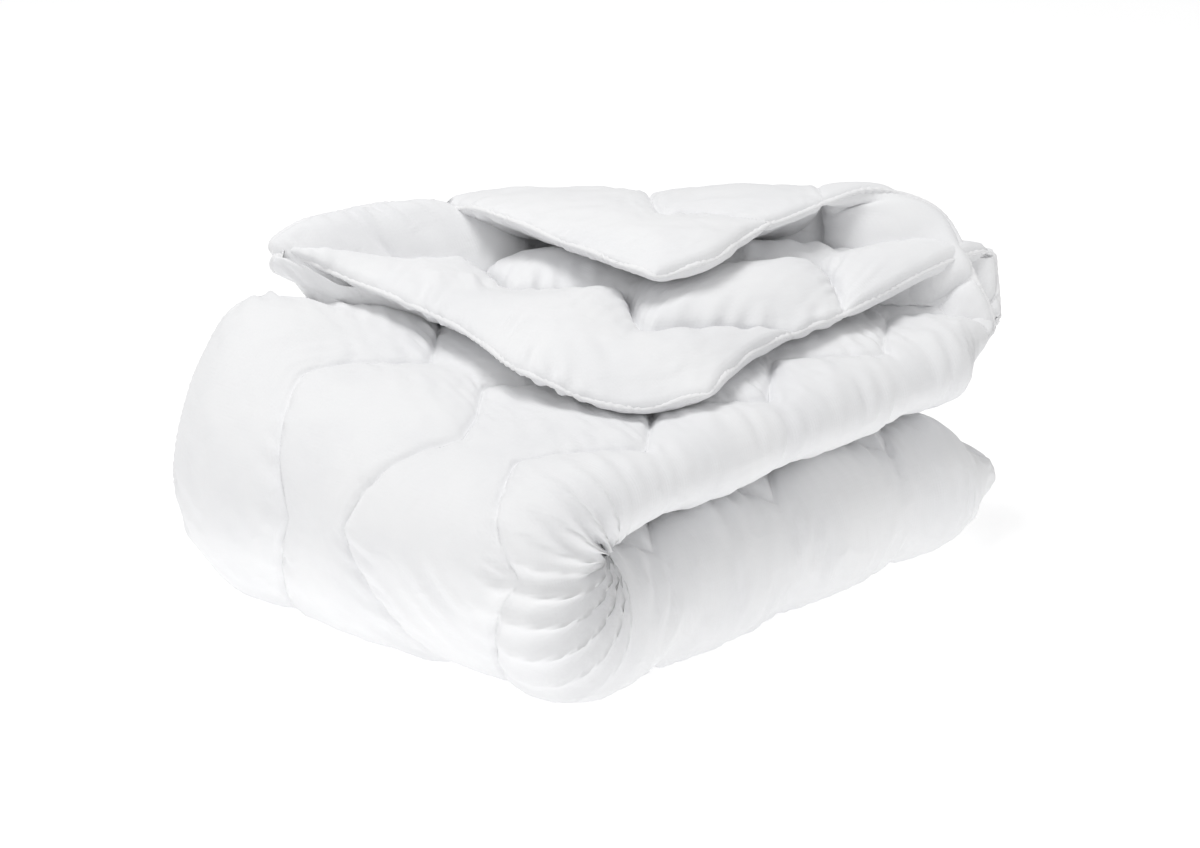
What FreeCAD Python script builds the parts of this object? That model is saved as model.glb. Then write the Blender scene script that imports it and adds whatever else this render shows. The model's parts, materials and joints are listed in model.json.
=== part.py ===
"""Quilted duvet, folded in half lengthwise, folded over once and with two corners turned down.

Frame: the origin is the centre of the flat face that the duvet rests on. +X runs along the
folded strip to its open end, +Y along the spine to the side hems, and +Z is up. The pieces
are drawn from the corner where the first fold meets the spine, and moved to that origin as
they are written. All sizes are in millimetres.
"""
import FreeCAD, Part
import math
import os

# ---- the duvet laid flat ----
DUVET_LENGTH = 2000.0
DUVET_WIDTH = 1400.0
LOFT = 54.0              # mean thickness of one quilted layer
CLOTH = 1.0              # face cloth and back cloth
HEM_WIDTH = 14.0         # edge binding, seen beyond the wadding
HEM_THICKNESS = 3.0
THREAD = 1.2             # quilting thread, laid on the face cloth
ROW_SPACING = 200.0      # between two zigzag rows
ROW_FIRST = 200.0        # from the side hem to the first row
ZIGZAG_PERIOD = 250.0
ZIGZAG_SWING = 50.0      # to each side of the row's line
ZIGZAG_END = 40.0        # the rows stop this far from the end hem

# ---- how it is folded ----
AIR_GAP = 51.0           # the puffs hold two folded layers this far apart
FLAP_GAP = 6.0           # between a turned corner and what it lies on
CREASE_GAP = 1.0         # between a flap and the diagonal, so that it swings clear
SECOND_TAKE_UP = 57.0    # cloth that the second corner loses in its roll
TOP_TAKE_UP = 200.0      # cloth that the top corner loses in its roll

# ---- sizes that follow from those ----
PITCH = LOFT + AIR_GAP
STRIP_LENGTH = (DUVET_LENGTH - math.pi * PITCH) / 2      # the spine takes half a turn
STRIP_WIDTH = (DUVET_WIDTH - math.pi * PITCH / 2) / 2    # the first fold takes half a turn
FOLD_IN = AIR_GAP / 2                                    # radii of the first fold
FOLD_OUT = FOLD_IN + LOFT
FOLD_MID = (FOLD_IN + FOLD_OUT) / 2
LOWER_Z = FOLD_OUT                                       # middle height of the lower strip
SPINE_Z = 2 * FOLD_OUT + AIR_GAP / 2                     # axis of the spine fold
UPPER_Z = 2 * SPINE_Z - LOWER_Z                          # middle height of the upper strip
STACK_TOP = UPPER_Z + FOLD_OUT
SECOND_Z = STACK_TOP + FLAP_GAP                          # underside of the second flap
TOP_Z = SECOND_Z + LOFT + FLAP_GAP                       # underside of the top flap
OUTER_MID_Z = UPPER_Z + FOLD_MID                         # middle of the upper outer layer
INNER_MID_Z = UPPER_Z - FOLD_MID                         # middle of the upper inner layer

# ---- the diagonal fold line x + y = STRIP_LENGTH ----
DIAGONAL = STRIP_LENGTH
CORNER_ALONG = (STRIP_LENGTH - STRIP_WIDTH) / math.sqrt(2)
FLAT_REACH = (STRIP_LENGTH + STRIP_WIDTH - DIAGONAL) / math.sqrt(2)
SECOND_REACH = FLAT_REACH - SECOND_TAKE_UP               # from the diagonal to the flap's corner
TOP_REACH = FLAT_REACH - TOP_TAKE_UP
FAR = DUVET_LENGTH + DUVET_WIDTH                         # longer than anything here

X_AXIS = FreeCAD.Vector(1, 0, 0)
Y_AXIS = FreeCAD.Vector(0, 1, 0)
Z_AXIS = FreeCAD.Vector(0, 0, 1)
REST_CENTRE = FreeCAD.Vector(STRIP_LENGTH / 2, STRIP_WIDTH / 2, 0)
DIAGONAL_FRAME = FreeCAD.Placement(
    FreeCAD.Vector(DIAGONAL / 2, DIAGONAL / 2, 0), FreeCAD.Rotation(Z_AXIS, -45))


def polygon(points):
    """A flat face through the points, in order."""
    corners = [FreeCAD.Vector(*point) for point in points]
    return Part.Face(Part.makePolygon(corners + corners[:1]))


def plan_prism(points, low, high):
    """A slab with the plan outline of the (x, y) points, from one height to another."""
    return polygon([(x, y, low) for x, y in points]).extrude(Z_AXIS * (high - low))


def band_wire(radius, reach, height, side):
    """One side of a U-shaped band, from its upper end round the fold to its lower end."""
    top, bottom = height + radius, height - radius
    arc = Part.Arc(FreeCAD.Vector(0, 0, top), FreeCAD.Vector(0, -side * radius, height),
                   FreeCAD.Vector(0, 0, bottom)).toShape()
    if reach == 0:
        return [arc]
    upper = Part.makeLine((0, side * reach, top), (0, 0, top))
    lower = Part.makeLine((0, 0, bottom), (0, side * reach, bottom))
    return [upper, arc, lower]


def band(inner, outer, reach, height, side=1):
    """Section, in the plane x = 0, of a layer doubled round a half-round fold.

    The layer lies between the two radii, its two runs are reach long and go to +Y
    where side is 1, and the fold bulges the other way.
    """
    end = side * reach
    edges = band_wire(outer, reach, height, side) + band_wire(inner, reach, height, side)
    for sign in (1, -1):
        edges.append(Part.makeLine((0, end, height + sign * inner),
                                   (0, end, height + sign * outer)))
    return Part.Face(Part.Wire(Part.__sortEdges__(edges)))


def layer(make, mid, cloth=CLOTH):
    """Face cloth, back cloth and wadding of a doubled layer.

    make(inner, outer, inset) builds the solid between two fold radii, drawn in from the
    hems by inset. The face cloth is on the outside of the fold.
    """
    wadding = make(FOLD_IN + cloth, FOLD_OUT - cloth, cloth)
    face = make(mid, FOLD_OUT, 0).cut(wadding)
    back = make(FOLD_IN, mid, 0).cut(wadding)
    return face, back, wadding


# ---- straight strips ----
KEEP_NEAR = plan_prism([(-FAR, -FAR), (DIAGONAL + FAR, -FAR), (-FAR, DIAGONAL + FAR)], -FAR, FAR)


def strip(height, clip):
    """A maker for one straight strip, cut back to the near side of the diagonal if clip."""
    def make(inner, outer, inset):
        length = STRIP_LENGTH - inset
        solid = band(inner, outer, STRIP_WIDTH - inset, height).extrude(X_AXIS * length)
        return solid.common(KEEP_NEAR) if clip else solid
    return make


def end_binding(height):
    """The binding round the open end of a strip, mitred at its two side hems."""
    low, high = FOLD_MID - HEM_THICKNESS / 2, FOLD_MID + HEM_THICKNESS / 2
    face = band(low, high, STRIP_WIDTH + HEM_WIDTH, height)
    solid = face.extrude(X_AXIS * (STRIP_LENGTH + HEM_WIDTH))
    end, side = STRIP_LENGTH, STRIP_WIDTH
    plan = [(end, -FAR), (end + HEM_WIDTH, -FAR), (end + HEM_WIDTH, side + HEM_WIDTH), (end, side)]
    return solid.common(plan_prism(plan, -FAR, FAR))


def side_binding_plan(clip):
    """Plan outline of the binding along one long hem of a strip."""
    near, far = STRIP_WIDTH, STRIP_WIDTH + HEM_WIDTH
    if clip:
        return [(0, near), (DIAGONAL - near, near), (DIAGONAL - far, far), (0, far)]
    return [(0, near), (STRIP_LENGTH, near), (STRIP_LENGTH + HEM_WIDTH, far), (0, far)]


def side_binding(middle, clip):
    """Binding along a long hem, centred on the height of its layer."""
    half = HEM_THICKNESS / 2
    return plan_prism(side_binding_plan(clip), middle - half, middle + half)


# ---- spine ----
def turned_about_spine(face):
    """Half a turn from the lower strip, out past the spine and back over it."""
    return face.revolve(FreeCAD.Vector(0, 0, SPINE_Z), Y_AXIS, 180)


def spine(inner, outer, inset):
    """The doubled layer where it goes round the spine."""
    return turned_about_spine(band(inner, outer, STRIP_WIDTH - inset, LOWER_Z))


def spine_binding(middle):
    """Binding of a side hem where it goes round the spine."""
    half = HEM_THICKNESS / 2
    near, far = STRIP_WIDTH, STRIP_WIDTH + HEM_WIDTH
    face = polygon([(0, near, middle - half), (0, far, middle - half),
                    (0, far, middle + half), (0, near, middle + half)])
    return turned_about_spine(face)


# ---- turned corners, drawn in the frame of the diagonal and then put in place ----
def in_place(shape):
    """Moves a shape from the diagonal's own frame to the duvet's."""
    placed = shape.copy()
    placed.Placement = DIAGONAL_FRAME
    return placed


def roll_profile(inner, outer, height):
    """Section of a half-round corner roll, bulging away from the flap."""
    return band(inner, outer, 0, height, side=-1)


def roll_between(inner, outer, height, radius, reach, inset, margin):
    """A corner roll between its two slanting hem ends.

    The hems close in from the full width of the corner, at the roll's underside, to the
    width of the flap at its top side. margin is added outside the hems, and inset taken off.
    """
    grow = margin - inset
    rise = 2 * radius
    slope = (FLAT_REACH - reach) / rise
    spread = slope * 2 * outer
    wide = FLAT_REACH + spread + grow
    narrow = reach - spread + grow
    low, high = height - radius - 2 * outer, height + radius + 2 * outer
    wedge = polygon([(CORNER_ALONG - wide, -outer, low), (CORNER_ALONG + wide, -outer, low),
                     (CORNER_ALONG + narrow, -outer, high), (CORNER_ALONG - narrow, -outer, high)])
    body = roll_profile(inner, outer, height).extrude(X_AXIS * 2 * FAR)
    body.translate(FreeCAD.Vector(-FAR, 0, 0))
    return body.common(wedge.extrude(Y_AXIS * 3 * outer))


def corner_roll(height, radius, reach, face_inside):
    """Face cloth, back cloth, wadding and binding of the roll of one turned corner."""
    inner, outer = radius - LOFT / 2, radius + LOFT / 2

    def piece(low, high, inset):
        return roll_between(low, high, height, radius, reach, inset, 0)

    wadding = piece(inner + CLOTH, outer - CLOTH, CLOTH)
    inside = piece(inner, radius, 0).cut(wadding)
    outside = piece(radius, outer, 0).cut(wadding)
    low, high = radius - HEM_THICKNESS / 2, radius + HEM_THICKNESS / 2
    hem = roll_between(low, high, height, radius, reach, 0, HEM_WIDTH)
    hem = hem.cut(roll_between(low, high, height, radius, reach, 0, 0))
    face, back = (inside, outside) if face_inside else (outside, inside)
    return [in_place(shape) for shape in (face, back, wadding, hem)]


def flap_plan(reach, inset):
    """Right-angled triangle from the diagonal to the turned corner, in the diagonal's frame."""
    size = reach - inset * math.sqrt(2)
    base = size - CREASE_GAP
    return [(CORNER_ALONG - base, -CREASE_GAP), (CORNER_ALONG, -size),
            (CORNER_ALONG + base, -CREASE_GAP)]


def corner_flap(low, reach, face_down):
    """Face cloth, back cloth, wadding and binding of the flat part of a turned corner."""
    middle, high = low + LOFT / 2, low + LOFT
    wadding = plan_prism(flap_plan(reach, CLOTH), low + CLOTH, high - CLOTH)
    under = plan_prism(flap_plan(reach, 0), low, middle).cut(wadding)
    over = plan_prism(flap_plan(reach, 0), middle, high).cut(wadding)
    half = HEM_THICKNESS / 2
    hem = plan_prism(flap_plan(reach, -HEM_WIDTH), middle - half, middle + half)
    hem = hem.cut(plan_prism(flap_plan(reach, 0), middle - half, middle + half))
    face, back = (under, over) if face_down else (over, under)
    return [in_place(shape) for shape in (face, back, wadding, hem)]


# ---- quilting thread ----
def row_places():
    """Distances from the side hem of the zigzag rows that lie clear of the first fold."""
    flat_width = STRIP_WIDTH - ZIGZAG_SWING - THREAD
    count = 1 + int((flat_width - ROW_FIRST) // ROW_SPACING)
    return [ROW_FIRST + index * ROW_SPACING for index in range(count)]


def zigzag_points(start, end, line, phase):
    """Corner points of one zigzag row along X; phase is 1 or -1, where the row starts."""
    half_period = ZIGZAG_PERIOD / 2
    count = int((end - start) / half_period)
    return [(start + index * half_period, line + phase * ZIGZAG_SWING * (-1) ** index)
            for index in range(count + 1)]


def zigzag_plan(points):
    """Outline of a thread of its own width along a row's points."""
    shift = THREAD / 2
    return ([(x, y - shift) for x, y in points]
            + [(x, y + shift) for x, y in reversed(points)])


def strip_threads(low, clip):
    """The zigzag rows on the flat outer side of a strip, from the height low up."""
    threads = []
    for index, place in enumerate(row_places()):
        line = STRIP_WIDTH - place
        end = STRIP_LENGTH - ZIGZAG_END
        if clip:
            end = DIAGONAL - line - ZIGZAG_SWING - ZIGZAG_END
        points = zigzag_points(ZIGZAG_END, end, line, (-1) ** index)
        threads.append(plan_prism(zigzag_plan(points), low, low + THREAD))
    return Part.makeCompound(threads)


def flap_threads(reach, low):
    """The row that crosses a turned corner, on the side that lies uppermost."""
    line = -reach / 2
    end = CORNER_ALONG + reach / 2 - ZIGZAG_END
    points = zigzag_points(2 * CORNER_ALONG - end, end, line, 1)
    shallow = [(x, line + (y - line) / 2) for x, y in points]
    return in_place(plan_prism(zigzag_plan(shallow), low, low + THREAD))


def spine_thread_step(radius, start, end):
    """One stretch of thread on the round of the spine.

    start and end are (angle from straight down in degrees, y). The stretch is the part
    of a thin round shell that lies in a slanting plate through both points.
    """
    (angle_a, y_a), (angle_b, y_b) = start, end
    low, high = min(y_a, y_b) - THREAD, max(y_a, y_b) + THREAD
    rim = polygon([(0, low, SPINE_Z - radius - THREAD), (0, high, SPINE_Z - radius - THREAD),
                   (0, high, SPINE_Z - radius), (0, low, SPINE_Z - radius)])
    rim.rotate(FreeCAD.Vector(0, 0, SPINE_Z), Y_AXIS, angle_a)
    shell = rim.revolve(FreeCAD.Vector(0, 0, SPINE_Z), Y_AXIS, angle_b - angle_a)
    chord = 2 * radius * math.sin(math.radians(angle_b - angle_a) / 2)
    slant = math.degrees(math.atan2(y_b - y_a, chord))
    plate = Part.makeBox(2 * radius, THREAD, 2 * radius, FreeCAD.Vector(-radius, -THREAD / 2, 0))
    plate.rotate(FreeCAD.Vector(0, 0, 0), Z_AXIS, -slant)
    plate.rotate(FreeCAD.Vector(0, 0, 0), X_AXIS, 180)
    middle = (angle_a + angle_b) / 2
    plate.rotate(FreeCAD.Vector(0, 0, 0), Y_AXIS, middle)
    plate.translate(FreeCAD.Vector(0, (y_a + y_b) / 2, SPINE_Z))
    return shell.common(plate)


def spine_threads():
    """The zigzag rows of the outer layer where they go round the spine."""
    radius = SPINE_Z
    step = math.degrees(ZIGZAG_PERIOD / 2 / radius)
    count = int(180 // step)
    first = (180 - count * step) / 2
    threads = []
    for index, place in enumerate(row_places()):
        line = STRIP_WIDTH - place
        for turn in range(count):
            swing = ZIGZAG_SWING * (-1) ** (index + turn)
            start = (first + turn * step, line + swing)
            end = (first + (turn + 1) * step, line - swing)
            threads.append(spine_thread_step(radius, start, end))
    return Part.makeCompound(threads)


def build():
    """Every sub-part, by its node name."""
    nodes = {}
    makers = {"lower": strip(LOWER_Z, False), "spine": spine, "upper": strip(UPPER_Z, True)}
    for region, make in makers.items():
        face, back, wadding = layer(make, FOLD_MID)
        nodes["face_cloth_" + region] = face
        nodes["back_cloth_" + region] = back
        nodes["wadding_" + region] = wadding

    nodes["binding_foot_end"] = end_binding(LOWER_Z)
    nodes["binding_head_end"] = end_binding(UPPER_Z).common(KEEP_NEAR)
    for side, offset in (("outer", -FOLD_MID), ("inner", FOLD_MID)):
        nodes["binding_" + side + "_lower"] = side_binding(LOWER_Z + offset, False)
        nodes["binding_" + side + "_spine"] = spine_binding(LOWER_Z + offset)
        nodes["binding_" + side + "_upper"] = side_binding(UPPER_Z - offset, True)

    corners = {"second": (SECOND_Z, OUTER_MID_Z, SECOND_REACH, True),
               "top": (TOP_Z, INNER_MID_Z, TOP_REACH, False)}
    for name, (low, root_height, reach, face_down) in corners.items():
        flap_middle = low + LOFT / 2
        radius = (flap_middle - root_height) / 2
        axis_height = (flap_middle + root_height) / 2
        parts = {"roll": corner_roll(axis_height, radius, reach, face_down),
                 "flap": corner_flap(low, reach, face_down)}
        for part, shapes in parts.items():
            for kind, shape in zip(("face_cloth", "back_cloth", "wadding", "binding"), shapes):
                nodes["_".join((kind, name, part))] = shape
        print(name, "corner hinge height", axis_height)

    nodes["thread_lower"] = strip_threads(2 * LOWER_Z, False)
    nodes["thread_spine"] = spine_threads()
    nodes["thread_upper"] = strip_threads(STACK_TOP, True)
    nodes["thread_second_flap"] = flap_threads(SECOND_REACH, SECOND_Z + LOFT)
    nodes["thread_top_flap"] = flap_threads(TOP_REACH, TOP_Z + LOFT)
    return nodes


def main():
    """Builds the duvet and writes one STEP file per node."""
    os.makedirs("parts", exist_ok=True)
    print("strip", STRIP_LENGTH, STRIP_WIDTH, "spine axis", SPINE_Z, "top", TOP_Z + LOFT)
    for name, shape in build().items():
        if not shape.isValid() or not shape.Solids:
            raise ValueError(name + " is not a valid solid")
        print(name, len(shape.Solids), round(shape.Volume))
        shape.translate(-REST_CENTRE)
        shape.exportStep("parts/" + name + ".step")


main()
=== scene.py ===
"""A quilted single duvet, folded into a bundle with its free corner turned down."""

import json
import logging
import math
from dataclasses import dataclass, field
from enum import Enum

import bmesh
import bpy
import numpy as np
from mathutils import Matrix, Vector


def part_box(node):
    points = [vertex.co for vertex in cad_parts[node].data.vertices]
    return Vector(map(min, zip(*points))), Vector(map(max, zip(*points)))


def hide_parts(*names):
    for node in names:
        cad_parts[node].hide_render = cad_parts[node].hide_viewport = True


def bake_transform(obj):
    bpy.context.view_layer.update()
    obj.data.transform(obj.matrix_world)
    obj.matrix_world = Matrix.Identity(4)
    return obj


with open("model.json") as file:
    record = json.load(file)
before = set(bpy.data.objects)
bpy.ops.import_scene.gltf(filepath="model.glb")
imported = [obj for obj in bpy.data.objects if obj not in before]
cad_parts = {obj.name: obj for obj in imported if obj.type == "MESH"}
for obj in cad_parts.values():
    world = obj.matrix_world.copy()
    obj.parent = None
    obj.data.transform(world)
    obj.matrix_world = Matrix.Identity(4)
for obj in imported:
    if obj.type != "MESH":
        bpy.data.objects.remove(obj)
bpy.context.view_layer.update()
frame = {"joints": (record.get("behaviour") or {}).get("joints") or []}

LOG = logging.getLogger("duvet")
ROOT_TWO = math.sqrt(2.0)
TINY = 1e-6
TINIEST = 1e-9
SAME_PLACE = 1e-5
CUT_REACH = 0.03
ROUNDING_PASSES = 3
WAVES = 7
BANDS_PER_SCALE = 20.0
WAVE_HEIGHT = 3.2
EVERY = slice(None)
Points = list[tuple[float, float, float]]


class Side(Enum):
    """The two sides of a quilted layer, by the sign of their offset from its middle."""

    FACE = 1.0
    BACK = -1.0


def ease(value: np.ndarray | float, start: float, end: float) -> np.ndarray:
    """Rises smoothly from 0 at start to 1 at end; end may be the smaller of the two.

    Args:
        value: where to look.
        start: the last place that is still 0.
        end: the first place that is 1.

    Returns:
        The share, from 0 to 1.
    """
    share = np.clip((value - start) / (end - start), 0.0, 1.0)
    return share * share * (3.0 - 2.0 * share)


def bell(value: np.ndarray, centre: float, width: float) -> np.ndarray:
    """A smooth bump, 1 at centre and nearly 0 two widths away."""
    return np.exp(-(((value - centre) / width) ** 2))


def through(points: Points, place: np.ndarray) -> np.ndarray:
    """A smooth curve through a few points, read by its first coordinate.

    Args:
        points: rows that begin with a rising key, followed by the values there.
        place: the keys to read the curve at.

    Returns:
        An array of place's shape with one more axis for the values.
    """
    rows = np.array(points, float)
    keys, values = rows[:, 0], rows[:, 1:]
    slopes = np.gradient(values, keys, axis=0)
    at = np.clip(place, keys[0], keys[-1])
    low = np.clip(np.searchsorted(keys, at, side="right") - 1, 0, len(keys) - 2)
    gap = keys[low + 1] - keys[low]
    s = ((at - keys[low]) / gap)[..., None]
    gap = gap[..., None]
    return (
        values[low] * (2 * s**3 - 3 * s**2 + 1)
        + slopes[low] * gap * (s**3 - 2 * s**2 + s)
        + values[low + 1] * (3 * s**2 - 2 * s**3)
        + slopes[low + 1] * gap * (s**3 - s**2)
    )


@dataclass
class Quilting:
    """The flat duvet: its size and the zigzag rows sewn along it, in metres."""

    length: float = 2.0
    width: float = 1.4
    row_spacing: float = 0.2
    period: float = 0.25
    swing: float = 0.05
    cells_per_period: int = 28
    cells_per_band: int = 22
    seam_half: float = 0.004
    seam_face: float = 0.020
    even_share: float = 0.55
    crowded_share: float = 0.45
    dome_power: float = 0.62
    hem_start: float = -0.02
    face_dome: float = 0.018
    back_dome: float = 0.030
    hem_taper: float = 0.10

    def bands(self) -> int:
        """How many bands of filling lie between the two long hems."""
        return round(self.width / self.row_spacing)

    def seam(self, row: int, u: np.ndarray) -> np.ndarray:
        """Where a zigzag row runs.

        Args:
            row: 0 and bands() are the hems, the rows lie between.
            u: places along the duvet.

        Returns:
            The distance across the duvet at each place.
        """
        middle = np.full_like(u, row * self.row_spacing)
        if row in (0, self.bands()):
            return middle
        turn = np.abs((((u - self.length / 2) / self.period) % 1.0) - 0.5) * 4.0 - 1.0
        return middle + (1 if row % 2 else -1) * self.swing * turn

    def lines_across(self) -> np.ndarray:
        """Places the grid's lines, closer together at the seams.

        Returns:
            The fractional row number of each line.
        """
        t = np.arange(self.cells_per_band) / self.cells_per_band
        share = self.even_share * t + self.crowded_share * (1.0 - np.cos(math.pi * t)) / 2.0
        rows = [k + share for k in range(self.bands())]
        return np.append(np.concatenate(rows), float(self.bands()))

    def grid(self, u_line: np.ndarray, rows: np.ndarray) -> tuple[np.ndarray, np.ndarray]:
        """The flat places of a grid whose lines follow the zigzag rows.

        Args:
            u_line: the grid's places along the duvet.
            rows: fractional row numbers, from lines_across().

        Returns:
            u and v, each of shape (len(u_line), len(rows)).
        """
        u = np.repeat(u_line[:, None], len(rows), axis=1)
        v = np.empty_like(u)
        for j, row in enumerate(rows):
            low = min(int(row), self.bands() - 1)
            share = row - low
            v[:, j] = (1 - share) * self.seam(low, u_line) + share * self.seam(low + 1, u_line)
        return u, v

    def thickness(self, u: np.ndarray, rows: np.ndarray) -> tuple[np.ndarray, np.ndarray]:
        """How far the face and the back of the filled duvet stand from its middle.

        Args:
            u: places along the duvet.
            rows: fractional row numbers of the grid's lines.

        Returns:
            The distance on the face side and on the back side, at each grid point.
        """
        dome = np.empty_like(u)
        hem = np.empty_like(u)
        for j, row in enumerate(rows):
            low = min(int(row), self.bands() - 1)
            share = row - low
            wide = self.seam(low + 1, u[:, j]) - self.seam(low, u[:, j])
            arch = math.sqrt(max(4.0 * share * (1.0 - share), 0.0))
            dome[:, j] = arch**self.dome_power * (wide / self.row_spacing) ** 0.5
            hem[:, j] = min(row, self.bands() - row) * self.row_spacing
        edge = np.minimum(hem, np.minimum(u, self.length - u))
        full = np.sqrt(ease(edge, self.hem_start, self.hem_taper))
        face = self.seam_face * full + self.face_dome * dome * full
        dip = self.seam_face * full * np.clip(1.0 - dome, 0.0, 1.0)
        back = self.back_dome * dome * full - dip
        return face + self.seam_half, back + self.seam_half


@dataclass(frozen=True)
class Slump:
    """A place where the filled cloth sags or is pushed, measured from the folds' corner."""

    centre: tuple[float, float, float]
    reach: tuple[float, float, float]
    shift: tuple[float, float, float]

    def apply(self, p: np.ndarray) -> np.ndarray:
        """The shift that this place gives to each point."""
        away = (p - np.array(self.centre)) / np.array(self.reach)
        return np.exp(-(away**2).sum(axis=-1))[..., None] * np.array(self.shift)


def slumps() -> list[Slump]:
    """Lists how the bundle sags away from its neat folds.

    Returns:
        The far end of both strips first, then the spine's far top.
    """
    return [
        Slump((0.84, 0.0, 0.36), (0.12, 0.10, 0.07), (-0.005, -0.050, 0.015)),
        Slump((0.84, -0.06, 0.28), (0.10, 0.06, 0.05), (-0.13, -0.015, 0.0)),
        Slump((0.84, 0.06, 0.12), (0.12, 0.14, 0.06), (-0.07, 0.0, 0.0)),
        Slump((0.84, -0.03, 0.08), (0.12, 0.08, 0.06), (-0.03, -0.055, 0.0)),
        Slump((0.88, -0.02, 0.085), (0.07, 0.08, 0.035), (0.035, -0.010, 0.0)),
        Slump((-0.02, 0.64, 0.36), (0.14, 0.11, 0.10), (-0.005, 0.0, 0.078)),
    ]


@dataclass
class Fold:
    """The bundle's sizes, worked out from the CAD model, and how flat cloth lies in it."""

    quilting: Quilting = field(default_factory=Quilting)
    lower_lift: float = 0.0555
    top_drop: float = 0.060
    pinch: float = 0.80
    foot_reach: float = 0.17
    foot_width: float = 0.20
    head_reach: float = 0.15
    near_reach: float = 0.62
    far_share: float = 0.35
    near_share: float = 0.65

    def __post_init__(self) -> None:
        """Reads the bundle's sizes from the frame."""
        joints = {j["name"]: j for j in frame["joints"]}
        spine = joints["spine_fold"]["pos_m"]
        low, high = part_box("wadding_lower")
        _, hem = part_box("back_cloth_lower")
        self.origin = np.array([spine[0], -hem[1], 0.0])
        self.length = hem[0] - spine[0]
        self.width = 2.0 * hem[1]
        self.spine_z = spine[2]
        self.pitch = self.spine_z - 0.5 * (low[2] + high[2])
        self.stack_top = 2.0 * self.spine_z
        self.corner_z = {
            "second": joints["second_corner_fold"]["pos_m"][2],
            "top": joints["top_corner_fold"]["pos_m"][2],
        }
        self.turn_start = self.length
        self.turn_end = self.length + math.pi * self.pitch

    def place(self, u: np.ndarray, v: np.ndarray) -> np.ndarray:
        """Lays flat places of the duvet's middle surface in the folded strips and spine.

        Args:
            u: places along the duvet, from the foot end.
            v: places across it, from the outer layer's long hem.

        Returns:
            Points, measured from the corner where the spine meets the long fold.
        """
        bend = self.pitch / 2.0
        turn = np.clip((v - self.width) / bend, 0.0, math.pi)
        back = v - self.width - math.pi * bend
        at_fold = bell(v, self.quilting.width / 2.0, self.foot_width)
        at_head = 1.0 - ease(self.quilting.length - u, 0.0, self.head_reach)
        foot = 1.0 - (1.0 - ease(u, 0.0, self.foot_reach)) * at_fold * self.pinch
        head = 1.0 - at_head * np.sin(turn) * self.pinch
        bend = bend * foot * head
        past = np.where(back > 0, back, -bend * np.sin(turn))
        y = np.where(v < self.width, self.width - v, past)
        out = bend * np.cos(turn)
        angle = np.clip((u - self.turn_start) / self.pitch, 0.0, math.pi)
        x = np.where(
            u < self.turn_start,
            self.turn_start - u,
            np.where(u > self.turn_end, u - self.turn_end, -self.pitch * np.sin(angle)),
        )
        z = self.spine_z - self.pitch * np.cos(angle)
        return np.stack([x - out * np.sin(angle), y, z - out * np.cos(angle)], axis=-1)

    def settle(self, p: np.ndarray) -> np.ndarray:
        """Lets the neat folded strips slump as the filled cloth does.

        Args:
            p: points from place().

        Returns:
            The slumped points.
        """
        near = ease(p[..., 1], self.near_reach, 0.0)
        share = np.clip(p[..., 2] / self.stack_top, 0.0, 1.0)
        out = p.copy()
        for slump in slumps():
            out += slump.apply(p)
        lift = (self.far_share + self.near_share * near) * self.lower_lift
        out[..., 2] += lift * np.sin(math.pi * share)
        out[..., 2] -= near * self.top_drop * share**3
        return out


def settle_heights(z: np.ndarray, top: float = 0.512, soft: float = 0.02) -> np.ndarray:
    """Presses heights flat on the floor and keeps them under the top, both softly.

    Args:
        z: the heights.
        top: the greatest height.
        soft: how far from the floor and the top the pressing starts.

    Returns:
        The pressed heights.
    """
    z = np.where(z > top - soft, top - soft + soft * np.tanh((z - top + soft) / soft), z)
    return np.where(z < soft, soft * np.exp((z - soft) / soft), z)


def trimmed(past: np.ndarray) -> tuple[np.ndarray, np.ndarray]:
    """Cuts a grid along a line across it.

    Args:
        past: how far each point lies past the line.

    Returns:
        The cells that stay, and the points on the cut edge that are near the line.
    """
    centre = (past[:-1, :-1] + past[1:, :-1] + past[:-1, 1:] + past[1:, 1:]) / 4.0
    cells = centre < 0.0
    whole = np.pad(cells, 1)
    inner = whole[:-1, :-1] & whole[1:, :-1] & whole[:-1, 1:] & whole[1:, 1:]
    return cells, ~inner & (np.abs(past) < CUT_REACH)


def on_seam(rows: np.ndarray) -> np.ndarray:
    """Which of the grid's lines run along a sewn row or a hem."""
    return np.abs(rows - np.round(rows)) < TINY


def link_object(name: str, data: bpy.types.ID) -> bpy.types.Object:
    """Puts a mesh, light or camera into the scene.

    Args:
        name: the object's name.
        data: what it shows.

    Returns:
        The object.
    """
    obj = bpy.data.objects.new(name, data)
    bpy.context.scene.collection.objects.link(obj)
    return obj


def give(node: bpy.types.Node, values: dict[str, object]) -> None:
    """Sets a node's input sockets by their names."""
    for name, value in values.items():
        node.inputs[name].default_value = value


def wire(tree: bpy.types.NodeTree, nodes: dict[str, bpy.types.Node], rows: str) -> None:
    """Links nodes.

    Args:
        tree: the tree that holds them.
        nodes: the nodes by name.
        rows: a link a line: node, output, node and input, with commas between them.
    """
    for row in rows.strip().splitlines():
        source, output, target, socket = (word.strip() for word in row.split(","))
        tree.links.new(nodes[source].outputs[output], nodes[target].inputs[socket])


def smooth(data: bpy.types.Mesh) -> None:
    """Shades every face of a mesh smoothly."""
    data.polygons.foreach_set("use_smooth", np.ones(len(data.polygons), bool))


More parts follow.
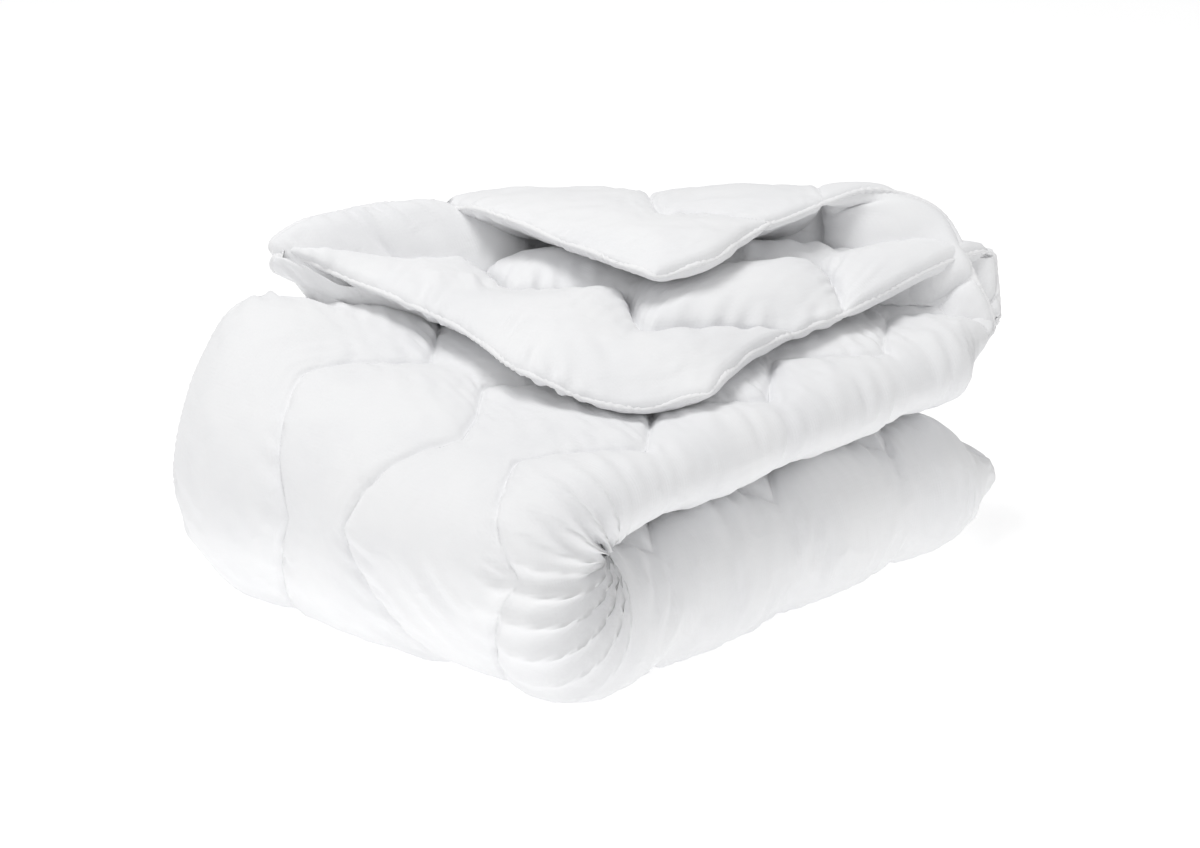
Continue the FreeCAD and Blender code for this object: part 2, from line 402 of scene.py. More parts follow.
class Shell:
    """A closed, filled piece of duvet made from a grid of its middle surface."""

    def __init__(
        self, middle: np.ndarray, sides: tuple[np.ndarray, np.ndarray],
        flat: tuple[np.ndarray, np.ndarray, np.ndarray],
        cells: np.ndarray, held: np.ndarray,
    ) -> None:
        """Keeps the grid.

        Args:
            middle: points of shape (n, m, 3).
            sides: how far the face and the back stand from the middle.
            flat: places along and across the flat duvet, and fractional row numbers.
            cells: which of the (n - 1, m - 1) cells exist.
            held: which points are sewn or cut, and keep their place.
        """
        self.middle, self.cells, self.held = middle, cells, held
        self.face, self.back = sides
        self.flat = flat
        self.normal = self.outward(middle)
        used = np.zeros(held.shape, bool)
        used[:-1, :-1] |= cells
        used[1:, :-1] |= cells
        used[:-1, 1:] |= cells
        used[1:, 1:] |= cells
        self.used = used
        self.turned = False
        self.number = np.full(held.shape, -1)
        self.number[used] = np.arange(used.sum())

    @staticmethod
    def outward(middle: np.ndarray) -> np.ndarray:
        """Works out which way the face side looks.

        Args:
            middle: points of shape (n, m, 3).

        Returns:
            Unit normals of the middle surface, pointing out of the face side.
        """
        along = np.gradient(middle, axis=0)
        across = np.gradient(middle, axis=1)
        normal = np.cross(across, along)
        return normal / np.maximum(np.linalg.norm(normal, axis=-1, keepdims=True), TINIEST)

    def flip(self) -> None:
        """Turns the normals round, for a grid that runs the other way along the duvet."""
        self.normal = -self.normal
        self.turned = not self.turned

    def edges(self) -> list[tuple[int, int]]:
        """Finds the edges that only one cell has.

        Returns:
            The open edges, each in the direction of its cell on the face side.
        """
        seen: dict[tuple[int, int], tuple[int, int]] = {}
        for quad in self.quads():
            for a, b in zip(quad, np.roll(quad, -1)):
                key = (min(a, b), max(a, b))
                if key in seen:
                    seen.pop(key)
                else:
                    seen[key] = (int(a), int(b))
        return list(seen.values())

    def quads(self) -> np.ndarray:
        """Lists the cells that exist.

        Returns:
            The corners of each cell, turned so that the face side points outwards.
        """
        n = self.number
        i, j = np.nonzero(self.cells)
        quads = np.stack([n[i, j], n[i, j + 1], n[i + 1, j + 1], n[i + 1, j]], axis=1)
        return quads[:, ::-1] if self.turned else quads

    def hem(self, where: tuple) -> "HemLine":
        """One hem of the grid.

        Args:
            where: an index of the grid's points, such as (slice(None), 0), in order.

        Returns:
            The hem's line, without the points that were cut away.
        """
        n, m = self.held.shape
        i, j = np.meshgrid(np.arange(n), np.arange(m), indexing="ij")
        i, j = i[where].ravel(), j[where].ravel()
        kept = self.used[i, j]
        i, j = i[kept], j[kept]
        if isinstance(where[1], int):
            inside = np.where(j == 0, 1, m - 2)
            toward = self.middle[i, inside] - self.middle[i, j]
        else:
            inside = np.where(i == 0, 1, n - 2)
            toward = self.middle[inside, j] - self.middle[i, j]
        normal = self.normal[i, j]
        middle = self.middle[i, j] + 0.5 * (self.face - self.back)[i, j][:, None] * normal
        return HemLine(middle, normal, toward)

    def seam_points(self, row: int, side: Side) -> np.ndarray:
        """Finds one sewn row in the mesh.

        Args:
            row: the row's number.
            side: the side of the layer.

        Returns:
            The numbers of the mesh vertices along it.
        """
        column = int(np.argmin(np.abs(self.flat[2][0] - row)))
        numbers = self.number[:, column]
        numbers = numbers[numbers >= 0]
        return numbers if side is Side.FACE else numbers + int(self.used.sum())

    def mesh(self, name: str) -> bpy.types.Object:
        """Makes the closed mesh.

        Args:
            name: the piece's name.

        Returns:
            The object, with a vertex group "held" for the sewn and cut places.
        """
        count = int(self.used.sum())
        middle, normal = self.middle[self.used], self.normal[self.used]
        face, back = self.face[self.used][:, None], self.back[self.used][:, None]
        points = np.concatenate([middle + face * normal, middle - back * normal])
        points[:, 2] = settle_heights(points[:, 2])
        quads = self.quads()
        rim = np.array(self.edges())
        walls = np.stack([rim[:, 1], rim[:, 0], rim[:, 0] + count, rim[:, 1] + count], axis=1)
        faces = np.concatenate([quads, quads[:, ::-1] + count, walls])
        data = bpy.data.meshes.new(name)
        data.from_pydata(points.tolist(), [], faces.tolist())
        smooth(data)
        obj = link_object(name, data)
        group = obj.vertex_groups.new(name="held")
        for layer, values in zip(("flat_u", "flat_v", "flat_row"), self.flat):
            both = np.tile(values[self.used], 2).astype(np.float32)
            data.attributes.new(layer, "FLOAT", "POINT").data.foreach_set("value", both)
        signs = np.repeat(np.array([Side.FACE.value, Side.BACK.value], np.float32), count)
        data.attributes.new("flat_side", "FLOAT", "POINT").data.foreach_set("value", signs)
        held = np.nonzero(self.held[self.used])[0]
        group.add(held.tolist() + (held + count).tolist(), 1.0, "REPLACE")
        return obj


@dataclass
class HemLine:
    """A hem: its points, the cloth's normals there and the way into the duvet."""

    points: np.ndarray
    normals: np.ndarray
    toward: np.ndarray

    def reverse(self) -> "HemLine":
        """The same hem from its other end."""
        return HemLine(self.points[::-1], self.normals[::-1], self.toward[::-1])

    def join(self, other: "HemLine") -> "HemLine":
        """This hem and the next one, which starts where this one ends."""
        return HemLine(*(np.concatenate([a, b[1:]]) for a, b in zip(
            (self.points, self.normals, self.toward), (other.points, other.normals, other.toward))))

    def resample(self, step: float) -> "HemLine":
        """Spaces the hem's points evenly and rounds its corners a little.

        Args:
            step: the distance between points.

        Returns:
            The new hem.
        """
        gaps = np.linalg.norm(np.diff(self.points, axis=0), axis=1)
        keep = np.append(True, gaps > SAME_PLACE)
        points, normals, toward = self.points[keep], self.normals[keep], self.toward[keep]
        run = np.append(0.0, np.cumsum(np.linalg.norm(np.diff(points, axis=0), axis=1)))
        at = np.linspace(0.0, run[-1], max(int(run[-1] / step), 4))
        lines = []
        for values in (points, normals, toward):
            line = np.stack([np.interp(at, run, values[:, k]) for k in range(3)], axis=1)
            for _ in range(ROUNDING_PASSES):
                line[1:-1] = 0.25 * line[:-2] + 0.5 * line[1:-1] + 0.25 * line[2:]
            lines.append(line)
        return HemLine(*lines)


def ripple(place: np.ndarray, lengths: tuple[float, float], seed: int) -> np.ndarray:
    """An uneven wave along a line.

    Args:
        place: the places on the line, in metres.
        lengths: the shortest and the longest wave in it.
        seed: fixes its waves.

    Returns:
        Heights from about -1 to 1.
    """
    draw = np.random.default_rng(seed)
    total = np.zeros_like(place)
    for _ in range(WAVES):
        length = draw.uniform(*lengths)
        total += np.sin(2.0 * math.pi * place / length + draw.uniform(0.0, 2.0 * math.pi))
    return total / WAVE_HEIGHT


@dataclass
class Creaser:
    """Puckers the cloth along its seams and crumples it inside the near corner."""

    pucker: float = 0.0042
    pucker_reach: float = 0.034
    pucker_dip: float = 0.004
    pucker_lean: float = 0.35
    gather: float = 0.0034
    gather_width: float = 0.075
    drag: float = 0.0026
    crumple: float = 0.013
    crumple_width: float = 0.085
    seed: int = 21
    quilting: Quilting = field(default_factory=Quilting)

    def puckers(self, u: np.ndarray, v: np.ndarray, row: np.ndarray) -> np.ndarray:
        """Draws the small folds that cross each seam.

        Args:
            u: places along the flat duvet.
            v: places across it.
            row: fractional row numbers.

        Returns:
            How far each point moves out.
        """
        lean = (row - np.round(row)) * self.quilting.row_spacing
        away = np.abs(lean)
        band = np.floor(row).astype(int)
        wave = np.zeros(len(u))
        for k in range(self.quilting.bands() + 1):
            here = band == k
            run = (u + self.pucker_lean * lean)[here]
            wave[here] = ripple(run, (0.016, 0.034), self.seed + k)
        strong = 0.55 + 0.45 * ripple(u + 3.0 * v, (0.15, 0.4), self.seed + 9)
        close = np.exp(-away / self.pucker_reach) * (1.0 - np.exp(-away / self.pucker_dip))
        return self.pucker * strong * close * wave

    def gathers(self, u: np.ndarray, v: np.ndarray) -> np.ndarray:
        """Draws the gathers along the long fold, before the choice of side.

        Args:
            u: places along the flat duvet.
            v: places across it.

        Returns:
            How far each point moves out.
        """
        fold = self.quilting.width / 2.0
        gathered = bell(v, fold, self.gather_width)
        lines = ripple(u + 0.5 * (v - fold), (0.026, 0.085), self.seed + 12)
        fade = 0.5 + 0.5 * ripple(u - 2.0 * v, (0.1, 0.3), self.seed + 13)
        return self.gather * gathered * lines * fade

    def drags(self, u: np.ndarray, v: np.ndarray) -> np.ndarray:
        """Draws patches of wrinkles where the cloth is pulled askew.

        Args:
            u: places along the flat duvet.
            v: places across it.

        Returns:
            How far each point moves out.
        """
        pulled = ripple(u + 0.8 * v, (0.028, 0.075), self.seed + 15)
        patches = np.clip(ripple(u - 0.6 * v, (0.12, 0.30), self.seed + 16), 0.0, 1.0)
        return self.drag * pulled * patches

    def crumples(self, u: np.ndarray, v: np.ndarray) -> np.ndarray:
        """Draws the deep folds inside the near corner, before the choice of side.

        Args:
            u: places along the flat duvet.
            v: places across it.

        Returns:
            How far each point moves out.
        """
        spine, fold = self.quilting.length / 2.0, self.quilting.width / 2.0
        inner = ease(np.abs(u - spine), 0.20, 0.08) * bell(v, fold + 0.02, self.crumple_width)
        waves = ripple(u + 0.25 * (v - fold), (0.045, 0.085), self.seed + 11)
        return self.crumple * inner * (1.0 - 2.0 * np.abs(waves))

    def run(self, obj: bpy.types.Object) -> None:
        """Moves a finished mesh's points along their normals.

        Args:
            obj: the piece, which carries its flat places as attributes.
        """
        data = obj.data
        count = len(data.vertices)
        flat = []
        for layer in ("flat_u", "flat_v", "flat_row", "flat_side"):
            values = np.empty(count, np.float32)
            data.attributes[layer].data.foreach_get("value", values)
            flat.append(values)
        u, v, row, side = flat
        outside = side > 0
        move = self.puckers(u, v, row)
        move = move + self.gathers(u, v) * outside + self.drags(u, v)
        move = move + self.crumples(u, v) * outside
        normals = np.empty(count * 3, np.float32)
        data.vertices.foreach_get("normal", normals)
        points = np.empty(count * 3, np.float32)
        data.vertices.foreach_get("co", points)
        points = points.reshape(-1, 3) + normals.reshape(-1, 3) * move[:, None]
        points[:, 2] = np.maximum(points[:, 2], 0.0)
        data.vertices.foreach_set("co", points.ravel())
        data.update()


@dataclass
class Binding:
    """The ruched tape that is folded over a hem."""

    width: float = 0.0075
    thickness: float = 0.0036
    inset: float = 0.0040
    step: float = 0.0035
    sides: int = 10
    sway: float = 0.0012
    roundness: float = 0.8
    stitch_place: float = 0.62
    stitch_height: float = 0.72
    stitch_proud: float = 0.0006
    seed: int = 5

    def build(self, name: str, hems: list[HemLine]) -> tuple[bpy.types.Object, list[np.ndarray]]:
        """Makes the tape.

        Args:
            name: the piece's name.
            hems: the hems that it follows, each a run of its own.

        Returns:
            The object, and the lines of its stitching on both sides.
        """
        points, faces, stitches = [], [], []
        for number, hem in enumerate(hems):
            line = hem.resample(self.step)
            tangent = np.gradient(line.points, axis=0)
            tangent /= np.linalg.norm(tangent, axis=1, keepdims=True)
            along = (line.toward * tangent).sum(axis=1, keepdims=True)
            toward = line.toward - along * tangent
            toward /= np.maximum(np.linalg.norm(toward, axis=1, keepdims=True), TINIEST)
            normal = np.cross(tangent, toward)
            run = np.arange(len(tangent)) * self.step
            ruche = ripple(run, (0.009, 0.016), self.seed + number)
            slow = ripple(run, (0.05, 0.13), self.seed + 40 + number)
            wide = self.width * (1.0 + 0.10 * slow + 0.05 * ruche)
            thick = self.thickness * (1.0 + 0.26 * ruche + 0.12 * slow)
            centre = line.points + toward * self.inset + normal * (self.sway * slow)[:, None]
            first = len(points)
            for k in range(self.sides):
                angle = 2.0 * math.pi * k / self.sides
                c, s = math.cos(angle), math.sin(angle)
                out = abs(c) ** self.roundness * math.copysign(1.0, c)
                up = abs(s) ** self.roundness * math.copysign(1.0, s)
                lean = self.sway * np.roll(ruche, 2 * k)[:, None] * tangent
                ring = centre + toward * (wide * out)[:, None] + normal * (thick * up)[:, None]
                points.extend((ring + lean).tolist())
            rings = len(run)
            for k in range(self.sides):
                a, b = first + k * rings, first + (k + 1) % self.sides * rings
                faces.extend((a + i, a + i + 1, b + i + 1, b + i) for i in range(rings - 1))
            ends = [first + k * rings for k in range(self.sides)]
            faces.append(tuple(ends))
            faces.append(tuple(e + rings - 1 for e in reversed(ends)))
            for sign in (1.0, -1.0):
                lift = thick * self.stitch_height + self.stitch_proud
                inward = toward * self.width * self.stitch_place
                stitches.append(centre + inward + sign * normal * lift[:, None])
        data = bpy.data.meshes.new(name)
        data.from_pydata(points, [], faces)
        mesh = bmesh.new()
        mesh.from_mesh(data)
        bmesh.ops.recalc_face_normals(mesh, faces=mesh.faces)
        mesh.to_mesh(data)
        mesh.free()
        smooth(data)
        return link_object(name, data), stitches


@dataclass
class StitchTree:
    """A Geometry Nodes tree that sets small stitches along sewn lines."""

    spacing: float = 0.0050
    length: float = 0.0034
    radius: float = 0.0006
    tree: bpy.types.NodeTree | None = None

    def make(self) -> bpy.types.NodeTree:
        """Builds the tree once.

        Returns:
            The tree, with its inputs named as sew() gives them.
        """
        if self.tree:
            return self.tree
        tree = bpy.data.node_groups.new("stitch_rows", "GeometryNodeTree")
        face = tree.interface
        face.new_socket("Lines", in_out="INPUT", socket_type="NodeSocketGeometry")
        for label in ("Spacing", "Length", "Radius"):
            face.new_socket(label, in_out="INPUT", socket_type="NodeSocketFloat")
        face.new_socket("Thread", in_out="INPUT", socket_type="NodeSocketMaterial")
        face.new_socket("Stitches", in_out="OUTPUT", socket_type="NodeSocketGeometry")
        nodes = {name: tree.nodes.new(kind) for name, kind in (
            ("given", "NodeGroupInput"),
            ("curve", "GeometryNodeMeshToCurve"),
            ("even", "GeometryNodeResampleCurve"),
            ("tangent", "GeometryNodeInputTangent"),
            ("align", "FunctionNodeAlignRotationToVector"),
            ("ball", "GeometryNodeMeshUVSphere"),
            ("half", "ShaderNodeMath"),
            ("size", "ShaderNodeCombineXYZ"),
            ("place", "GeometryNodeInstanceOnPoints"),
            ("real", "GeometryNodeRealizeInstances"),
            ("dress", "GeometryNodeSetMaterial"),
            ("out", "NodeGroupOutput"),
        )}
        nodes["even"].mode = "LENGTH"
        nodes["align"].axis = "Z"
        give(nodes["ball"], {"Segments": 6, "Rings": 4, "Radius": 1.0})
        nodes["half"].operation = "MULTIPLY"
        nodes["half"].inputs[1].default_value = 0.5
        tree.links.new(nodes["given"].outputs["Length"], nodes["half"].inputs[0])
        wire(tree, nodes, """
            given, Lines, curve, Mesh
            curve, Curve, even, Curve
            given, Spacing, even, Length
            tangent, Tangent, align, Vector
            given, Radius, size, X
            given, Radius, size, Y
            half, Value, size, Z
            even, Curve, place, Points
            ball, Mesh, place, Instance
            align, Rotation, place, Rotation
            size, Vector, place, Scale
            place, Instances, real, Geometry
            real, Geometry, dress, Geometry
            given, Thread, dress, Material
            dress, Geometry, out, Stitches
        """)
        self.tree = tree
        return tree

    def sew(
        self, name: str, lines: list[np.ndarray], thread: bpy.types.Material
    ) -> bpy.types.Object:
        """Makes the stitches of one piece.

        Args:
            name: the piece's name.
            lines: the sewn lines, as points.
            thread: the thread's finish.

        Returns:
            A plain mesh object.
        """
        points, edges = [], []
        for line in lines:
            first = len(points)
            points.extend(line.tolist())
            edges.extend((first + k, first + k + 1) for k in range(len(line) - 1))
        data = bpy.data.meshes.new(name)
        data.from_pydata(points, edges, [])
        obj = link_object(name, data)
        modifier = obj.modifiers.new("stitches", "NODES")
        modifier.node_group = self.make()
        values = {"Spacing": self.spacing, "Length": self.length, "Radius": self.radius,
                  "Thread": thread}
        for item in self.tree.interface.items_tree:
            if item.in_out == "INPUT" and item.name in values:
                modifier[item.identifier] = values[item.name]
        depsgraph = bpy.context.evaluated_depsgraph_get()
        baked = bpy.data.meshes.new_from_object(obj.evaluated_get(depsgraph))
        obj.modifiers.clear()
        obj.data = baked
        smooth(baked)
        return obj


CLOTH_SETTINGS = {
    "quality": 4,
    "mass": 0.15,
    "tension_stiffness": 8.0,
    "compression_stiffness": 8.0,
    "shear_stiffness": 3.0,
    "bending_stiffness": 0.6,
    "tension_damping": 10.0,
    "compression_damping": 10.0,
    "air_damping": 4.0,
    "use_pressure": True,
    "vertex_group_mass": "held",
}


@dataclass
class Relaxer:
    """Lets the cloth swell and wrinkle between its seams by simulation."""

    frames: int = 18
    pressure: float = 2.0
    growth: float = -0.12
    cap: float = 0.016
    unevenness: float = 0.0008
    seed: int = 7

    def run(self, obj: bpy.types.Object) -> None:
        """Simulates one piece and applies the result to its mesh.

        Args:
            obj: the piece, with its sewn and cut places in the vertex group "held".
        """
        data = obj.data
        start = np.array([v.co for v in data.vertices], float)
        noise = np.random.default_rng(self.seed).normal(0.0, self.unevenness, start.shape)
        free = np.ones(len(start), bool)
        group = obj.vertex_groups["held"].index
        for vertex in data.vertices:
            if any(g.group == group for g in vertex.groups):
                free[vertex.index] = False
        data.vertices.foreach_set("co", (start + noise * free[:, None]).ravel())
        cloth = obj.modifiers.new("cloth", "CLOTH")
        settings = cloth.settings
        for setting, value in CLOTH_SETTINGS.items():
            setattr(settings, setting, value)
        settings.uniform_pressure_force = self.pressure
        settings.shrink_min = self.growth
        settings.effector_weights.gravity = 0.0
        cloth.point_cache.frame_start = 1
        cloth.point_cache.frame_end = self.frames
        for step in range(1, self.frames + 1):
            bpy.context.scene.frame_set(step)
        depsgraph = bpy.context.evaluated_depsgraph_get()
        after = obj.evaluated_get(depsgraph).to_mesh()
        moved = np.array([v.co for v in after.vertices], float) - start
        obj.evaluated_get(depsgraph).to_mesh_clear()
        obj.modifiers.remove(cloth)
        far = np.linalg.norm(moved, axis=1, keepdims=True)
        moved *= self.cap * np.tanh(far / self.cap) / np.maximum(far, TINIEST)
        data.vertices.foreach_set("co", (start + moved).ravel())
        data.update()
        bpy.context.scene.frame_set(1)


def subdivide(obj: bpy.types.Object) -> None:
    """Subdivides a piece once and applies it, so that its mesh is final.

    Args:
        obj: the piece.
    """
    modifier = obj.modifiers.new("smooth", "SUBSURF")
    modifier.levels = modifier.render_levels = 1
    depsgraph = bpy.context.evaluated_depsgraph_get()
    data = bpy.data.meshes.new_from_object(obj.evaluated_get(depsgraph))
    obj.modifiers.clear()
    obj.data = data
    smooth(data)


@dataclass(frozen=True)
class Finishes:
    """The materials of the duvet's pieces."""

    cotton: bpy.types.Material
    tape: bpy.types.Material
    thread: bpy.types.Material


def sewn_lines(obj: bpy.types.Object, shell: Shell) -> list[np.ndarray]:
    """Finds the zigzag rows on both sides of a finished piece.

    Args:
        obj: the piece.
        shell: the shell that it was made from.

    Returns:
        The rows' points, a little proud of the cloth.
    """
    proud, fewest = 0.0004, 4
    lines = []
    for row in range(1, Quilting().bands()):
        for side in Side:
            numbers = shell.seam_points(row, side)
            if len(numbers) < fewest:
                continue
            vertices = [obj.data.vertices[int(n)] for n in numbers]
            lines.append(np.array([v.co + v.normal * proud for v in vertices]))
    return lines


def quilted(shell: Shell, name: str) -> tuple[bpy.types.Object, list[np.ndarray]]:
    """Makes a shell's mesh and gives it the swelling and creases of filled cloth.

    Args:
        shell: the shell.
        name: the piece's name.

    Returns:
        The finished piece and its sewn rows.
    """
    quilt = shell.mesh(name)
    Relaxer().run(quilt)
    subdivide(quilt)
    lines = sewn_lines(quilt, shell)
    Creaser().run(quilt)
    return quilt, lines


@dataclass
class Bundle:
    """The two strips and the spine, one quilted piece up to the diagonal folds."""

    fold: Fold
    finishes: Finishes
    stitches: StitchTree

    def build(self) -> list[bpy.types.Object]:
        """Makes the quilt, its binding and its stitches, and hides the CAD parts that they replace.

        Returns:
            The three pieces.
        """
        q, f = self.fold.quilting, self.fold
        u_line = np.linspace(0.0, q.length, round(q.length / q.period) * q.cells_per_period + 1)
        rows = q.lines_across()
        u, v = q.grid(u_line, rows)
        sides = q.thickness(u, rows)
        flat = f.place(u, v)
        past = np.where(u > f.turn_end, flat[..., 0] + flat[..., 1] - f.length, -1.0)
        past = np.where(flat[..., 1] < 0.0, flat[..., 0] - f.length, past)
        past = np.where(u > f.turn_end, past, -1.0)
        cells, cut = trimmed(past)
        cut = cut & (flat[..., 1] >= 0.0) & (u > f.turn_end)
        u = np.where(cut, u - past, u)
        middle = f.settle(f.place(u, v))
        held = cut | on_seam(rows)[None, :] | (np.minimum(u, q.length - u) < TINY)
        shell = Shell(middle + f.origin, sides, (u, v, np.tile(rows, (len(u), 1))), cells, held)
        quilt, lines = quilted(shell, "quilt_bundle")
        long_way = shell.hem((EVERY, 0)).reverse().join(shell.hem((0, EVERY)))
        edge = long_way.join(shell.hem((EVERY, -1)))
        tape, tape_lines = Binding().build("binding_bundle", [edge, shell.hem((-1, EVERY))])
        threads = self.stitches.sew("stitches_bundle", lines + tape_lines, self.finishes.thread)
        quilt.data.materials.append(self.finishes.cotton)
        tape.data.materials.append(self.finishes.tape)
        for piece in (quilt, tape, threads):
            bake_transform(piece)
        places = ("lower", "spine", "upper")
        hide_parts(*(f"{part}_{place}" for part in ("face_cloth", "wadding", "back_cloth")
                             for place in places))
        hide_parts("binding_foot_end", "binding_head_end",
                    *(f"binding_{hem}_{place}" for hem in ("outer", "inner") for place in places))
        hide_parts(*(f"thread_{place}" for place in places))
        return [quilt, tape, threads]


@dataclass
class TurnedCorner:
    """A corner of the duvet turned down over the diagonal fold, with its roll."""

    fold: Fold
    finishes: Finishes
    stitches: StitchTree
    name: str
    radius: float
    left: float
    right: float
    outer_layer: bool
    left_hem: Points
    right_hem: Points
    grip: float = 0.2
    lift_grip: float = 0.08
    shoulder: float = 0.0
    lean: float = math.pi / 2
    turning: tuple[float, float] = (-0.10, 0.07)

    def hang(self, ideal: np.ndarray, a: np.ndarray, b: np.ndarray, span: float) -> np.ndarray:
        """Draws the neat flap to the way its two hems lie.

        Args:
            ideal: the neat surface.
            a: distances from the end hem.
            b: distances from the long hem.
            span: a + b at the cut.

        Returns:
            The drawn surface.
        """
        t_left = np.clip(a / np.maximum(span - b, TINY), 0.0, 1.0)
        t_right = np.clip(b / np.maximum(span - a, TINY), 0.0, 1.0)
        nought = np.zeros((1, 1))
        left = through(self.left_hem, t_left) - self.neat(t_left * span, 0.0 * b, span)
        right = through(self.right_hem, t_right) - self.neat(0.0 * a, t_right * span, span)
        corner = through(self.left_hem, nought) - self.neat(nought, nought, span)
        grip = np.array([self.grip, self.grip, self.lift_grip])
        by_left = np.exp(-((b[..., None] / grip) ** 2))
        by_right = np.exp(-((a[..., None] / grip) ** 2))
        return ideal + by_left * left + by_right * right - by_left * by_right * corner

    def neat(self, a: np.ndarray, b: np.ndarray, span: float) -> np.ndarray:
        """The neat roll and flap.

        Args:
            a: distances from the end hem.
            b: distances from the long hem.
            span: a + b at the cut.

        Returns:
            Points, measured from the corner where the spine meets the long fold.
        """
        f = self.fold
        roll = math.pi * self.radius
        reach = (span - a - b) / ROOT_TWO
        angle = np.clip(reach / self.radius, 0.0, math.pi)
        upper = ease(angle, 0.5 * math.pi, 0.75 * math.pi) * np.sin(angle)
        h = self.radius * np.sin(angle) + self.shoulder * upper - np.maximum(reach - roll, 0.0)
        rise = -np.cos(angle)
        rise = np.sign(rise) * np.abs(rise) ** np.where(rise > 0.0, 0.8, 1.0)
        z = f.corner_z[self.name] + self.radius * rise
        plus = f.length + ROOT_TWO * h
        share = b / np.maximum(a + b, TINY)
        at_cut = f.length - 2.0 * f.width * (1.0 - share)
        free = self.left - self.right + b - a
        opened = ease(reach, 0.0, roll)
        minus = at_cut + (free - at_cut) * opened
        return np.stack([(plus + minus) / 2, (plus - minus) / 2, z], axis=-1)

    def build(self) -> list[bpy.types.Object]:
        """Makes the roll and flap as one quilted piece, with its binding and stitches.

        Returns:
            The three pieces.
        """
        q, f = self.fold.quilting, self.fold
        span = f.length - self.left - self.right + ROOT_TWO * math.pi * self.radius
        step = q.period / q.cells_per_period
        a_line = np.arange(0, int(span / step) + 3) * step
        rows = q.lines_across()
        u, v = q.grid(q.length - a_line, rows)
        sides = q.thickness(u, rows)
        b = v if self.outer_layer else q.width - v
        a = q.length - u
        past = a + b - span
        cells, cut = trimmed(past)
        a = np.where(cut, a - past, a)
        hung = self.hang(self.neat(a, b, span), a, b, span)
        slack = ease((span - a - b) / ROOT_TWO, 0.0, math.pi * self.radius)[..., None]
        middle = slack * hung + (1.0 - slack) * f.settle(hung)
        held = cut | on_seam(rows)[None, :] | (a < TINY)
        shell = Shell(middle + f.origin, sides, (u, v, np.tile(rows, (len(u), 1))), cells, held)
        shell.flip()
        quilt, lines = quilted(shell, f"quilt_{self.name}_corner")
        end_hem = shell.hem((0, EVERY))
        long_hem = shell.hem((EVERY, 0 if self.outer_layer else -1))
        edge = long_hem.reverse().join(end_hem if self.outer_layer else end_hem.reverse())
        tape, tape_lines = Binding().build(f"binding_{self.name}_corner", [edge])
        threads = self.stitches.sew(f"stitches_{self.name}_corner", lines + tape_lines,
                                    self.finishes.thread)
        quilt.data.materials.append(self.finishes.cotton)
        tape.data.materials.append(self.finishes.tape)
        for piece in (quilt, tape, threads):
            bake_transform(piece)
        places = ("roll", "flap")
        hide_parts(*(f"{part}_{self.name}_{place}" for place in places
                             for part in ("face_cloth", "wadding", "back_cloth")))
        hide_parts(*(f"binding_{self.name}_{place}" for place in places))
        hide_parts(f"thread_{self.name}_flap")
        return [quilt, tape, threads]


def second_corner(fold: Fold, finishes: Finishes, stitches: StitchTree) -> TurnedCorner:
    """Sets out the outer layer's corner, which lies on the stack.

    Args:
        fold: the bundle's sizes.
        finishes: the materials.
        stitches: the tree that sews.

    Returns:
        The corner, ready to build.
    """
    return TurnedCorner(
        fold, finishes, stitches, "second", outer_layer=True,
        lean=math.pi / 4, turning=(-0.040, 0.022), radius=0.03, left=0.114, right=0.033,
        left_hem=[
            (0.00, 0.228, -0.019, 0.379), (0.10, 0.133, 0.038, 0.368), (0.22, 0.076, 0.152, 0.398),
            (0.42, 0.114, 0.332, 0.417), (0.69, 0.105, 0.569, 0.446), (0.78, 0.065, 0.632, 0.470),
            (0.86, 0.060, 0.645, 0.445), (0.93, 0.130, 0.640, 0.395), (1.00, 0.2175, 0.6175, 0.342),
        ],
        right_hem=[
            (0.00, 0.228, -0.019, 0.379), (0.20, 0.398, 0.038, 0.379), (0.46, 0.616, 0.038, 0.385),
            (0.67, 0.796, 0.010, 0.417), (0.80, 0.875, 0.000, 0.412), (1.00, 0.835, 0.0, 0.342),
        ],
    )


def top_corner(fold: Fold, finishes: Finishes, stitches: StitchTree) -> TurnedCorner:
    """Sets out the inner layer's corner, which lies on top of the other.

    Args:
        fold: the bundle's sizes.
        finishes: the materials.
        stitches: the tree that sews.

    Returns:
        The corner, ready to build.
    """
    return TurnedCorner(
        fold, finishes, stitches, "top", outer_layer=False,
        shoulder=0.09, radius=0.1125, left=0.335, right=0.165,
        left_hem=[
            (0.00, 0.332, 0.171, 0.465), (0.23, 0.341, 0.360, 0.474), (0.40, 0.332, 0.500, 0.490),
            (0.48, 0.335, 0.569, 0.480), (0.57, 0.265, 0.600, 0.505), (0.67, 0.180, 0.630, 0.505),
            (0.76, 0.100, 0.640, 0.500), (0.85, 0.060, 0.650, 0.450), (1.00, 0.2175, 0.6175, 0.237),
        ],
        right_hem=[
            (0.00, 0.332, 0.171, 0.465), (0.10, 0.420, 0.150, 0.474), (0.26, 0.550, 0.180, 0.476),
            (0.41, 0.673, 0.161, 0.490), (0.54, 0.780, 0.135, 0.505), (0.64, 0.834, 0.071, 0.490),
            (0.76, 0.815, 0.000, 0.440), (1.00, 0.835, 0.000, 0.237),
        ],
    )


